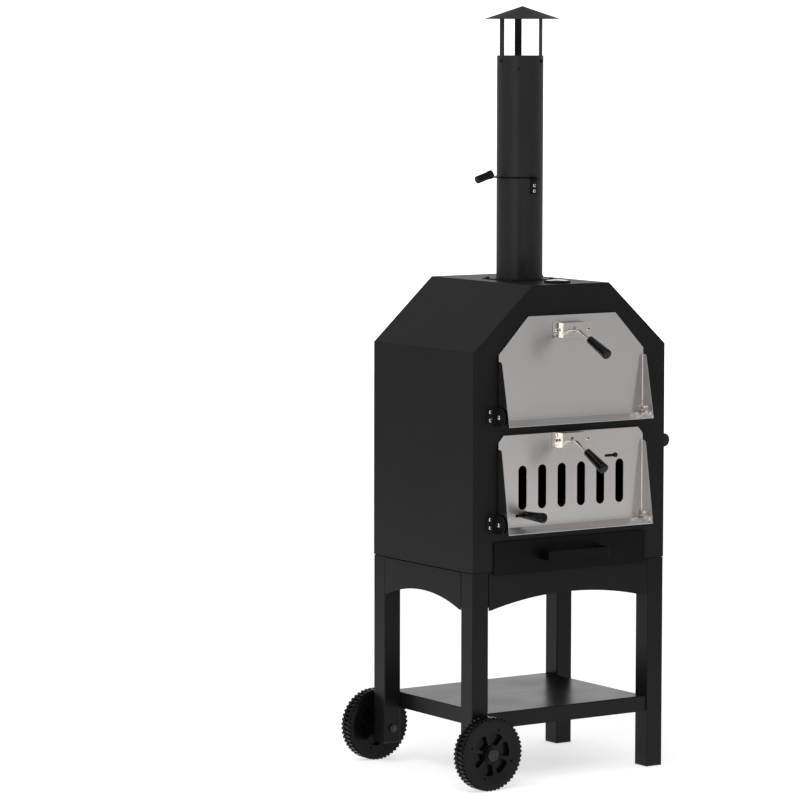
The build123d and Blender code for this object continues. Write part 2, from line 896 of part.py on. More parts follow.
def cap_strap(angle):
    """A flat strap from inside the pipe up to the underside of the cap."""
    thickness = 1.5
    tail = 10.0
    toe = 12.0
    over = 2.5
    under = 1.7
    slope = (cap_apex_z - cap_rim_z) / (cap_radius - cap_tip)
    outer = pipe_radius - pipe_wall - seat
    inner = outer - thickness
    toe_in = inner - toe
    top_out = cap_rim_z - sheet + (cap_radius - outer) * slope
    top_in = cap_rim_z - sheet + (cap_radius - toe_in) * slope
    profile = outline(
        [
            (inner, strap_screw_z - tail),
            (outer, strap_screw_z - tail),
            (outer, top_out + over),
            (toe_in, top_in + over),
            (toe_in, top_in - under),
            (inner, top_out - under),
        ]
    )
    strap = extrude(Plane.XZ.offset(-strap_width / 2) * profile, amount=strap_width)
    return Rot(0, 0, angle) * strap


def cap_straps():
    """The three straps, a third of a turn apart."""
    around = 2 * pipe_radius
    wall = tube((0, 0, plate_top), (0, 0, pipe_top_z), around, pipe_radius - pipe_wall)
    return [cap_strap(angle) - wall - above_cap() for angle in strap_angles]


def pipe_screw(angle, z, radius, height):
    """A screw head on the pipe's wall, at an angle round it."""
    a = radians(angle)
    point = (pipe_radius * cos(a), pipe_radius * sin(a), z)
    return screw_head(point, (cos(a), sin(a), 0), radius, height)


def strap_screws():
    """The screws through the pipe's wall into the straps, and the pipe's seam screw."""
    seam_angle = 231.0
    seam_drop = 15.0
    parts = [pipe_screw(angle, strap_screw_z, 4.2, 2.6) for angle in strap_angles]
    parts.append(pipe_screw(seam_angle, strap_screw_z - seam_drop, 2.8, 2.0))
    return parts


def damper_bracket():
    """An angle on the pipe's front: its upright leg is screwed on and its shelf holds the pivot."""
    half = 7.0
    leg_length = 32.0
    shelf_reach = 6.0
    top = damper_bracket_top
    front = damper_bracket_front
    bracket = block(-half, half, front, -pipe_radius + steel, top - leg_length, top)
    bracket += block(-half, half, damper_pivot_y - shelf_reach, front + past, top - damper_shelf, top)
    bracket -= Cylinder(pipe_radius + seat, 2 * pipe_top_z)
    return bracket - round_bar((0, damper_pivot_y, top - half), (0, damper_pivot_y, top + half), damper_pin)


def damper_bracket_screws():
    """The two bright screws on the bracket's upright leg."""
    heights = (1205.6, 1194.3)
    return [screw_head((0, damper_bracket_front, z), (0, -1, 0), 3.6, 2.2) for z in heights]


def damper_pivot():
    """The pin that the damper turns on, with a head above and below."""
    top = damper_z + 3.6
    head_low = damper_z + 1.4
    foot_top = damper_bracket_top - damper_shelf
    foot_low = damper_bracket_top - 4.0

    def round_part(z0, z1, radius):
        return round_bar((0, damper_pivot_y, z0), (0, damper_pivot_y, z1), radius)

    heads = round_part(head_low, top, 4.2) + round_part(foot_low, foot_top, 4.0)
    return round_part(foot_low, top, damper_pin) + heads


def damper_plate():
    """A disc that closes the pipe, with a tongue to its pivot and another for its rod."""
    overlap = 6.0
    reach = 60.0
    low = damper_z - damper_thickness / 2
    front_length = -damper_pivot_y - damper_radius
    disc = Circle(damper_radius)
    disc += Pos(0, (damper_pivot_y - damper_radius) / 2) * Rectangle(10, front_length + overlap)
    disc += Pos(0, damper_pivot_y) * Circle(5)
    disc += Pos(-(damper_radius + reach) / 2, 0) * Rectangle(reach - damper_radius + overlap, 9)
    plate = extrude(Pos(0, 0, low) * disc, amount=damper_thickness)
    below = (0, damper_pivot_y, low - past)
    above = (0, damper_pivot_y, low + damper_thickness + past)
    return plate - round_bar(below, above, damper_pin + running)


def damper_rod():
    """The wire from the damper's tongue up into its grip."""
    rod_radius = 1.6
    z = damper_rod_z
    return bent_rod([(-51, 0, z), (-63, 0, z), (-72, 0, z + 4.6), (-84, 0, z + 0.8)], 3.0, rod_radius)


def damper_grip():
    """A short round grip with a collar at its inner end."""
    start = Vector(-70.5, 0, damper_rod_z + 5.0)
    end = Vector(-108.0, 0, damper_z - 4.4)
    length = (end - start).length
    body = Cylinder(8.0, length, align=(Align.CENTER, Align.CENTER, Align.MIN))
    body = fillet(body.edges().group_by(Axis.Z)[-1], 2.2)
    collar = Cylinder(9.0, 8.0, align=(Align.CENTER, Align.CENTER, Align.MIN))
    collar = fillet(collar.edges(), 1.2)
    return Plane(origin=start, z_dir=end - start) * (body + collar) - damper_rod()


# ---------------------------------------------------------------- thermometer
def upright_disc(radius, height, z):
    """A disc on the thermometer's axis, from a height above the roof."""
    disc = Cylinder(radius, height, align=(Align.CENTER, Align.CENTER, Align.MIN))
    return Pos(0, thermo_y, roof_z + z) * disc


def thermometer_case():
    """The low cup that holds the dial, with a rounded bezel and a stem into the chamber."""
    stem_length = 60.0
    cup = upright_disc(bezel_radius, bezel_height, 0)
    cup = fillet(cup.edges().group_by(Axis.Z)[-1], 2.0)
    cup -= upright_disc(dial_radius + 0.1, bezel_height, dial_seat)
    cup -= upright_disc(dial_radius + sheet, bezel_height, glass_seat)
    return cup + upright_disc(stem_radius, stem_length + past / 2, -stem_length)


def thermometer_dial():
    """The printed disc under the needle, with the needle's hub."""
    return upright_disc(dial_radius, 0.8, dial_seat) + upright_disc(hub_pin, 1.8, dial_seat)


def thermometer_needle():
    """The pointer, which turns on the dial's hub."""
    needle = Circle(2.2) + outline([(-0.9, -6), (0.9, -6), (0.35, 18.5), (-0.35, 18.5)])
    needle = extrude(needle - Circle(hub_pin + running), amount=0.6)
    return Pos(0, thermo_y, roof_z + dial_seat + 1.2) * needle


def thermometer_glass():
    """The slightly domed window in the bezel."""
    radius = dial_radius + sheet - past / 20
    edge = 0.9
    ball = (radius**2 + glass_dome**2) / (2 * glass_dome)
    top = roof_z + glass_seat + edge + glass_dome
    return upright_disc(radius, edge + glass_dome, glass_seat) & Pos(0, thermo_y, top - ball) * Sphere(ball)


# ---------------------------------------------------------------- push handle
def push_bar():
    """The round bar of the push handle."""
    end = push_half - push_cap_length
    return tube((push_x, -end, push_z), (push_x, end, push_z), push_radius, push_radius - push_wall)


def push_caps():
    """The moulded caps in the bar's two ends."""
    plug_length = 10.0
    plug_radius = push_radius - push_wall - past / 20
    parts = []
    for side in (-1, 1):
        inner = side * (push_half - push_cap_length)
        cap = round_bar((push_x, inner, push_z), (push_x, side * push_half, push_z), push_radius + 1)
        cap = fillet(cap.edges().filter_by(GeomType.CIRCLE), 1.5)
        plug_start = (push_x, inner - side * plug_length, push_z)
        plug_end = (push_x, inner + side * past, push_z)
        parts.append(cap + round_bar(plug_start, plug_end, plug_radius))
    return parts


def push_posts():
    """The two posts that hold the bar off the side wall, each with a square foot."""
    foot_half_y = 16.0
    foot_half_z = 20.0
    post_radius = 9.0
    bar = round_bar((push_x, -push_half, push_z), (push_x, push_half, push_z), push_radius + seat)
    low = push_z - foot_half_z
    high = push_z + foot_half_z
    parts = []
    for y in (-push_post_y, push_post_y):
        foot = block(half_w, half_w + push_foot, y - foot_half_y, y + foot_half_y, low, high)
        foot = fillet(foot.edges().filter_by(Axis.X), 4)
        post = round_bar((half_w + steel, y, push_z), (push_x, y, push_z), post_radius)
        parts.append(foot + (post - bar))
    return parts


def push_screws():
    """The screws of the push handle's feet."""
    rise = 14.5
    places = [(y, z) for y in (-push_post_y, push_post_y) for z in (push_z - rise, push_z + rise)]
    return [screw_head((half_w + push_foot, y, z), (1, 0, 0), 3.8, 2.2) for y, z in places]


# ---------------------------------------------------------------- stand
def leg(side_x, side_y, bottom_z):
    """A rectangular tube leg at one corner."""
    corner = 2.0
    x0, x1 = sorted((side_x * half_w, side_x * (half_w - leg_width)))
    y0, y1 = sorted((side_y * half_d, side_y * (half_d - leg_depth)))
    solid = block(x0, x1, y0, y1, bottom_z, seam_z)
    solid = fillet(solid.edges().filter_by(Axis.Z), corner)
    wall = leg_wall
    return solid - block(x0 + wall, x1 - wall, y0 + wall, y1 - wall, bottom_z - past, seam_z + past)


def long_leg(side_y):
    """A leg on the handle side, which stands on its foot cap."""
    return leg(1, side_y, foot_thickness)


def short_leg(side_y):
    """A leg on the wheel side, cut short above the ground and drilled for its axle."""
    y = half_d + past
    shank = round_bar((axle_x, -y, wheel_radius), (axle_x, y, wheel_radius), axle_radius + seat)
    return leg(-1, side_y, short_leg_z) - shank


def foot_cap_part(side_x, side_y, bottom_z):
    """A moulded cap over the end of a leg, with a plug up inside the tube."""
    corner = 2.0
    cx = side_x * (half_w - leg_width / 2)
    cy = side_y * (half_d - leg_depth / 2)
    bore = 2 * leg_wall + 0.1
    cap = extrude(RectangleRounded(leg_width, leg_depth, corner), amount=foot_thickness)
    plug = extrude(Pos(0, 0, foot_thickness) * Rectangle(leg_width - bore, leg_depth - bore), amount=foot_cap)
    return Pos(cx, cy, bottom_z - foot_thickness) * (cap + plug)


def arched_face(half_length, low_z):
    """An apron's outline, level on top and arched below between two short feet."""
    top = seam_z - apron_gap
    foot = half_length - apron_foot
    left = [(-foot, low_z), (-half_length, low_z), (-half_length, top)]
    right = [(half_length, top), (half_length, low_z), (foot, low_z)]
    sides = Polyline(*left, *right)
    return make_face(sides + ThreePointArc((foot, low_z), (0, low_z + apron_rise), (-foot, low_z)))


def front_apron(y_side):
    """An arched apron between two legs, with its top and ends folded back."""
    half = half_w - leg_width - apron_gap
    top = seam_z - apron_gap
    end_low = apron_end_z + end_fold_rise
    y0, y1 = sorted((y_side * half_d, y_side * (half_d - leg_wall)))
    apron = front_plate(arched_face(half, apron_end_z), y0, y1)
    y0, y1 = sorted((y_side * half_d, y_side * (half_d - apron_fold)))
    apron += block(-half, half, y0, y1, top - leg_wall, top)
    for side in (-1, 1):
        x0, x1 = sorted((side * half, side * (half - leg_wall)))
        apron += block(x0, x1, y0, y1, end_low, top)
    return apron


def side_apron(x_side):
    """The same apron, turned to run between a front and a rear leg."""
    half = half_d - leg_depth - apron_gap
    top = seam_z - apron_gap
    end_low = apron_end_z + end_fold_rise
    x0, x1 = sorted((x_side * half_w, x_side * (half_w - leg_wall)))
    apron = side_plate(arched_face(half, apron_end_z), x0, x1)
    x0, x1 = sorted((x_side * half_w, x_side * (half_w - apron_fold)))
    apron += block(x0, x1, -half, half, top - leg_wall, top)
    for side in (-1, 1):
        y0, y1 = sorted((side * half, side * (half - leg_wall)))
        apron += block(x0, x1, y0, y1, end_low, top)
    return apron


def stand_shelf():
    """The lower shelf: a tray with its edges turned down between the legs."""
    low = shelf_z - shelf_flange
    half_x = shelf_half_w
    inner_x = half_x - sheet
    inner_y = shelf_half_d - sheet
    outer = block(-half_x, half_x, -shelf_half_d, shelf_half_d, low, shelf_z)
    outer = fillet(outer.edges().group_by(Axis.Z)[-1], 2.0)
    return outer - block(-inner_x, inner_x, -inner_y, inner_y, low - past, shelf_z - sheet)


def shelf_bolts():
    """The bolts that hold the shelf's side flanges to the legs."""
    drop = 17.0
    inside = shelf_half_w - sheet
    parts = []
    for x_side in (-1, 1):
        for y_side in (-1, 1):
            point = (x_side * inside, y_side * (half_d - leg_depth / 2), shelf_z - drop)
            parts.append(screw_head(point, (-x_side, 0, 0), 4.5, 3.0))
    return parts


def seam_bolts():
    """The bolts up through the aprons' top folds into the body's floor."""
    inset = 10.0
    side_y = 60.0
    front_x = 120.0
    z = seam_z - apron_gap - leg_wall
    places = [(x, y) for x in (-half_w + inset, half_w - inset) for y in (-side_y, side_y)]
    places += [(x, y) for x in (-front_x, front_x) for y in (-half_d + inset, half_d - inset)]
    return [screw_head((x, y, z), (0, 0, -1), 4.5, 3.2) for x, y in places]


# ---------------------------------------------------------------- wheels
def lug_ring(phase):
    """One row of the tread, as a face with a lug on every pitch."""
    step = 360.0 / lug_count
    low = wheel_radius - lug_height
    points = []
    for i in range(lug_count):
        middle = 270.0 + (i + phase) * step
        for turn, radius in ((-0.34, low), (-0.24, wheel_radius), (0.24, wheel_radius), (0.34, low)):
            angle = radians(middle + turn * step)
            points.append((radius * cos(angle), radius * sin(angle)))
    return outline(points)


def spoke_pocket(angle):
    """A wedge with rounded corners between two spokes of the wheel's outer face."""
    wedge = radians(23.0)
    inner = 20.0
    outer = 43.5
    corner = 4.5
    across = outer * sin(wedge)
    along = outer * cos(wedge)
    root_across = inner * sin(wedge)
    root_along = inner * cos(wedge)
    arc_out = ThreePointArc((along, -across), (outer, 0), (along, across))
    arc_in = ThreePointArc((root_along, root_across), (inner, 0), (root_along, -root_across))
    face = make_face([arc_out, Line(arc_out @ 1, arc_in @ 0), arc_in, Line(arc_in @ 1, arc_out @ 0)])
    return Rot(0, 0, angle) * fillet(face.vertices(), corner)


def wheel(y_side):
    """A moulded wheel with a knobbed tread, six spoke pockets and four small holes."""
    half = wheel_width / 2
    row = 11.0
    row_inset = 2.0
    dish_radius = 62.0
    dish_depth = 4.5
    pocket_depth = 12.0
    pocket_phase = 13.0
    hole_radius = 2.2
    hole_reach = 51.0
    hole_phase = 70.0
    back_radius = 62.0
    back_hub = 15.0
    back_depth = 10.0
    solid = extrude(Circle(wheel_radius - lug_height), amount=half, both=True)
    for low, phase in ((-half + row_inset, 0.5), (half - row_inset - row, 0.0)):
        solid += extrude(Pos(0, 0, low) * lug_ring(phase), amount=row)
    # the outer face falls gently from the sidewall to the hub
    dish = Cone(hub_radius, dish_radius, dish_depth, align=(Align.CENTER, Align.CENTER, Align.MAX))
    solid -= Pos(0, 0, half) * (dish - Cylinder(hub_radius, 4 * dish_depth))
    for i in range(6):
        solid -= extrude(Pos(0, 0, half) * spoke_pocket(pocket_phase + 60.0 * i), amount=-pocket_depth)
    for i in range(4):
        a = radians(hole_phase + 90.0 * i)
        solid -= Pos(hole_reach * cos(a), hole_reach * sin(a), half) * Cylinder(hole_radius, half)
    solid -= Pos(0, 0, -half) * (Cylinder(back_radius, 2 * back_depth) - Cylinder(back_hub, 2 * back_depth))
    solid -= Cylinder(axle_radius + running, 2 * wheel_width)
    turned = Rot(90, 0, 0) * solid if y_side < 0 else Rot(0, 0, 180) * Rot(-90, 0, 0) * solid
    return Pos(axle_x, y_side * (wheel_inner_y + half), wheel_radius) * turned


def on_axle(y_side, distance):
    """The point of an axle's line at a distance from the body's middle."""
    return (axle_x, y_side * distance, wheel_radius)


def wheel_axle(y_side):
    """A bolt through a short leg that the wheel turns on."""
    thread_out = 6.5
    head_radius = 8.0
    head_start = wheel_outer_y + 0.5
    head_end = head_start + 3.0
    inner_end = half_d - leg_depth - thread_out
    bolt = round_bar(on_axle(y_side, inner_end), on_axle(y_side, head_start + past), axle_radius)
    return bolt + round_bar(on_axle(y_side, head_start), on_axle(y_side, head_end), head_radius)


def wheel_spacer(y_side):
    """The sleeve that keeps the wheel off the leg."""
    return tube(on_axle(y_side, half_d), on_axle(y_side, wheel_inner_y - 0.5), 9.0, axle_radius + seat)


def axle_nuts():
    """The nuts on the axles' inner ends."""
    across = 15.0
    height = 5.0
    parts = []
    for y_side in (-1, 1):
        point = on_axle(y_side, half_d - leg_depth)
        parts.append(hex_nut(point, (0, -y_side, 0), across, height, axle_radius + seat))
    return parts


def hub_cap(y_side):
    """The domed cap with a ring groove that snaps over the axle's head and turns with the wheel."""
    height = 6.0
    groove_depth = 0.8
    cap = Cylinder(12.5, height, align=(Align.CENTER, Align.CENTER, Align.MIN))
    cap = fillet(cap.edges().group_by(Axis.Z)[-1], 2.6)
    cap -= Pos(0, 0, height) * (Cylinder(6.6, 2 * groove_depth) - Cylinder(5.2, 2 * groove_depth))
    cap -= Cylinder(9.5, 4.4, align=(Align.CENTER, Align.CENTER, Align.MIN))
    plane = Plane(origin=Vector(*on_axle(y_side, wheel_outer_y)), z_dir=Vector(0, y_side, 0))
    return plane * cap


# ---------------------------------------------------------------- assembly
def build_parts():
    """Every node's solids, laid out about the body's centre."""
    nodes = {}
    nodes["outer_shell"] = [outer_shell()]
    nodes["front_panel"] = [front_panel()]
    nodes["rear_panel"] = [rear_panel()]
    nodes["base_pan"] = [base_pan()]
    nodes["side_runners"] = side_runners(grid_ledge_z) + side_runners(grate_ledge_z)
    nodes["drawer_runners"] = drawer_runners()
    nodes["cooking_grid"] = [cooking_grid()]
    nodes["pizza_stone"] = [pizza_stone()]
    nodes["charcoal_grate"] = [charcoal_grate()]
    nodes["upper_door_sheet"] = [upper_door_sheet()]
    nodes["lower_door_sheet"] = [lower_door_sheet()]
    nodes["upper_door_screws"] = corner_screws(upper_fold_z) + latch_screws(upper_latch_z)
    nodes["lower_door_screws"] = corner_screws(lower_fold_z) + latch_screws(lower_latch_z)
    nodes["vent_shutter"] = [vent_shutter()]
    nodes["vent_grip"] = [vent_grip()]
    nodes["vent_pins"] = vent_pins()
    pivots = (pivot_upper_z, pivot_lower_z)
    nodes["hinge_brackets"] = [hinge_bracket(side, z) for side in (-1, 1) for z in pivots]
    nodes["hinge_pins"] = hinge_pins(pivot_upper_z) + hinge_pins(pivot_lower_z)
    nodes["body_screws"] = bracket_screws() + push_screws()
    upper = ("upper", upper_latch_z, upper_lever_x, upper_sag)
    lower = ("lower", lower_latch_z, lower_lever_x, lower_sag)
    for name, z, x, sag in (upper, lower):
        nodes[name + "_latch_bracket"] = [latch_bracket(z, x)]
        nodes[name + "_latch_lever"] = [latch_lever(z, x, sag)]
        nodes[name + "_latch_grip"] = [latch_grip(z, x, sag)]
    nodes["ash_tray"] = [ash_tray()]
    nodes["drawer_front"] = [drawer_front()]
    nodes["drawer_handle"] = [drawer_handle()]
    nodes["drawer_screws"] = drawer_screws()
    nodes["flue_plate"] = [flue_plate()]
    nodes["chimney_screws"] = flue_plate_screws() + collar_screws() + strap_screws()
    nodes["damper_screws"] = damper_bracket_screws()
    nodes["chimney_pipe"] = [chimney_pipe()]
    nodes["chimney_cap"] = [chimney_cap()]
    nodes["cap_straps"] = cap_straps()
    nodes["damper_bracket"] = [damper_bracket()]
    nodes["damper_pivot"] = [damper_pivot()]
    nodes["damper_plate"] = [damper_plate()]
    nodes["damper_rod"] = [damper_rod()]
    nodes["damper_grip"] = [damper_grip()]
    nodes["thermometer_case"] = [thermometer_case()]
    nodes["thermometer_dial"] = [thermometer_dial()]
    nodes["thermometer_needle"] = [thermometer_needle()]
    nodes["thermometer_glass"] = [thermometer_glass()]
    nodes["push_bar"] = [push_bar()]
    nodes["push_caps"] = push_caps()
    nodes["push_posts"] = push_posts()
    nodes["right_legs"] = [long_leg(side) for side in (-1, 1)]
    nodes["left_legs"] = [short_leg(side) for side in (-1, 1)]
    nodes["foot_caps"] = [foot_cap_part(1, side, foot_thickness) for side in (-1, 1)]
    nodes["foot_caps"] += [foot_cap_part(-1, side, short_leg_z) for side in (-1, 1)]
    nodes["front_rear_aprons"] = [front_apron(side) for side in (-1, 1)]
    nodes["side_aprons"] = [side_apron(side) for side in (-1, 1)]
    nodes["stand_shelf"] = [stand_shelf()]
    nodes["stand_bolts"] = shelf_bolts() + seam_bolts() + axle_nuts()
    for name, side in (("front", -1), ("rear", 1)):
        nodes[name + "_wheel"] = [wheel(side)]
        nodes[name + "_hub_cap"] = [hub_cap(side)]
    nodes["wheel_axles"] = [wheel_axle(side) for side in (-1, 1)]
    nodes["wheel_spacers"] = [wheel_spacer(side) for side in (-1, 1)]
    return nodes


def footprint_shift(nodes):
    """The move that brings the centre of the whole object's footprint to the origin."""
    boxes = [solid.bounding_box() for solids in nodes.values() for solid in solids]
    x = (min(b.min.X for b in boxes) + max(b.max.X for b in boxes)) / 2
    y = (min(b.min.Y for b in boxes) + max(b.max.Y for b in boxes)) / 2
    return -x, -y


def main():
    os.makedirs("parts", exist_ok=True)
    nodes = build_parts()
    shift_x, shift_y = footprint_shift(nodes)
    print("origin moved by", round(shift_x, 3), round(shift_y, 3))
    for name, solids in nodes.items():
        placed = [Pos(shift_x, shift_y, 0) * s for s in solids]
        shape = placed[0] if len(placed) == 1 else Compound(children=placed)
        export_step(shape, "parts/" + name + ".step")


if __name__ == "__main__":
    main()
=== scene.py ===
import json
from math import cos, pi, radians, sin

import bmesh
import bpy
from mathutils import Euler, Matrix, Vector


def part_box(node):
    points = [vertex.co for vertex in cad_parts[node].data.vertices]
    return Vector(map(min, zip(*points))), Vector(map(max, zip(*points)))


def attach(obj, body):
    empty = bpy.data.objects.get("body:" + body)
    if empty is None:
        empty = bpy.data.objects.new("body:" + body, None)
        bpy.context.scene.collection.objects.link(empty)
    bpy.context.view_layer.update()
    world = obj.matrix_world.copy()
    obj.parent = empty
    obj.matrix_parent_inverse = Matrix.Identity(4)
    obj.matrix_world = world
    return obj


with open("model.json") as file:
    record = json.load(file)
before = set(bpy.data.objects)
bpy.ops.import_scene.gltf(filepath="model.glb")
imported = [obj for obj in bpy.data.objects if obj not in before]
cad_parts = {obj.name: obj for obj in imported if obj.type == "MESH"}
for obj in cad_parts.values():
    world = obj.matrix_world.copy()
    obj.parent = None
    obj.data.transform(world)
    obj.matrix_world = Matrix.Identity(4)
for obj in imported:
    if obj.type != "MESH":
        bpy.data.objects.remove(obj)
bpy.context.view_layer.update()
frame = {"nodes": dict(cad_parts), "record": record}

MM = 0.001
WHITE = (1, 1, 1)

# ---- marks on the thermometer's dial ----
DIAL_SHEET = 0.8 * MM
DIAL_RING = 21.0 * MM
MARK_COUNT = 31
MARKS_PER_LONG = 5
FIRST_MARK = 225
MARK_STEP = 9
LONG_MARK = (4.2 * MM, 0.75 * MM)
SHORT_MARK = (2.4 * MM, 0.4 * MM)
MARK_SHEET = 0.08 * MM
MARK_RISE = 0.06 * MM

# ---- painted shade: dark dots in the hollow middles of screws and rivets ----
SHADE_DOT_SHEET = 0.12 * MM
RIVET_SHADE_DOT = 2.1 * MM
RIVET_FACE = 3.3 * MM
LEFT_RIVET_INSET = 9.9 * MM
RIGHT_RIVET_INSET = 8.4 * MM
DAMPER_SCREW_RADIUS = 3.6 * MM
DAMPER_SHADE_DOT = 1.9 * MM

# ---- studio, in metres from the foot of the oven ----
VIEW_YAW = 0.588562
FLOOR_SIZE = (60.0, 60.0)
FLOOR_GLOW = 0.62
GLOW_FULL = 1.7
GLOW_END = 3.4
GLOW_START = -3.0
GLOW_RISEN = -1.2
BACKDROP_AWAY = 9.5
BACKDROP_HEIGHT = 1.5
BACKDROP_SIZE = (6.0, 3.2)
FLAG_NEAR = 9.6
FLAG_HEIGHT = 1.2
FLAG_SIZE = (8.0, 6.0)
FLAG_GLOW = 0.02
WORLD_GLOW = 0.46
AIM_HEIGHT = 0.9

# ---- camera ----
CAMERA_FROM_BODY = (-4.70787, -6.60904)
CAMERA_HEIGHT = 1.52401
CAMERA_TILT = 0.0938697
CAMERA_ROLL = -0.00115
SENSOR_WIDTH = 36.0
LENS = 177.29
CLIP_END = 200.0


# ---------------------------------------------------------------- shader helpers
def link(tree, a, b):
    tree.links.new(a, b)


def math_node(tree, operation):
    node = tree.nodes.new("ShaderNodeMath")
    node.operation = operation
    return node


def noise(tree, coords, scale, detail=2.0, rough=0.5, stretch=(1, 1, 1)):
    """A noise texture on object coordinates, stretched along an axis if asked."""
    mapping = tree.nodes.new("ShaderNodeMapping")
    mapping.inputs["Scale"].default_value = stretch
    link(tree, coords, mapping.inputs["Vector"])
    tex = tree.nodes.new("ShaderNodeTexNoise")
    tex.inputs["Scale"].default_value = scale
    tex.inputs["Detail"].default_value = detail
    tex.inputs["Roughness"].default_value = rough
    link(tree, mapping.outputs["Vector"], tex.inputs["Vector"])
    return tex.outputs["Fac"]


def ramp(tree, value, start, end, low, high, smooth=False):
    """The value's run from start to end, turned into a run from low to high."""
    node = tree.nodes.new("ShaderNodeMapRange")
    if smooth:
        node.interpolation_type = "SMOOTHSTEP"
    for socket, number in (("From Min", start), ("From Max", end), ("To Min", low), ("To Max", high)):
        node.inputs[socket].default_value = number
    link(tree, value, node.inputs["Value"])
    return node.outputs["Result"]


def spread(tree, value, low, high):
    """The middle of a noise, widened to run from low to high."""
    return ramp(tree, value, 0.3, 0.7, low, high)


def mix_colours(tree, factor, a, b):
    node = tree.nodes.new("ShaderNodeMix")
    node.data_type = "RGBA"
    link(tree, factor, node.inputs[0])
    for socket, value in ((node.inputs[6], a), (node.inputs[7], b)):
        if isinstance(value, tuple):
            socket.default_value = (*value, 1)
        else:
            link(tree, value, socket)
    return node.outputs[2]


def finish_material(
    name,
    dark,
    light,
    rough,
    mottle=9.0,
    grain=900.0,
    depth=0.03 * MM,
    stretch=(1, 1, 1),
    metallic=0.0,
    edge=0.7 * MM,
    specular=0.5,
    clear=0.0,
    brushed=0.0,
    fleck=None,
):
    """A surface whose colour, roughness and relief all come from noise.

    Mottle and grain are the scales of the broad and the fine noise, depth is the relief's height,
    edge is the radius that softens corners, and brushed stretches reflections across the grain.
    A fleck is the scale, the colour and the share of small spots.
    """
    mat = bpy.data.materials.new(name)
    mat.use_nodes = True
    tree = mat.node_tree
    shader = tree.nodes["Principled BSDF"]
    coords = tree.nodes.new("ShaderNodeTexCoord").outputs["Object"]
    broad = noise(tree, coords, mottle, 4.0)
    fine = noise(tree, coords, grain, 2.0, 0.6, stretch)
    colour = mix_colours(tree, spread(tree, broad, 0.0, 1.0), dark, light)
    if fleck:
        scale, shade, share = fleck
        spots = spread(tree, noise(tree, coords, scale, 1.0), -share, share)
        colour = mix_colours(tree, spots, colour, shade)
    link(tree, colour, shader.inputs["Base Color"])
    both = math_node(tree, "ADD")
    for part, socket in zip((broad, fine), both.inputs):
        link(tree, spread(tree, part, rough[0] / 2, rough[1] / 2), socket)
    link(tree, both.outputs[0], shader.inputs["Roughness"])
    bump = tree.nodes.new("ShaderNodeBump")
    bump.inputs["Strength"].default_value = 1.0
    bump.inputs["Distance"].default_value = depth
    link(tree, fine, bump.inputs["Height"])
    if edge:
        bevel = tree.nodes.new("ShaderNodeBevel")
        bevel.samples = 4
        bevel.inputs["Radius"].default_value = edge
        link(tree, bevel.outputs["Normal"], bump.inputs["Normal"])
    link(tree, bump.outputs["Normal"], shader.inputs["Normal"])
    shader.inputs["Metallic"].default_value = metallic
    shader.inputs["Specular IOR Level"].default_value = specular
    shader.inputs["Transmission Weight"].default_value = clear
    shader.inputs["Anisotropic"].default_value = brushed
    shader.inputs["Anisotropic Rotation"].default_value = 0.25
    return mat


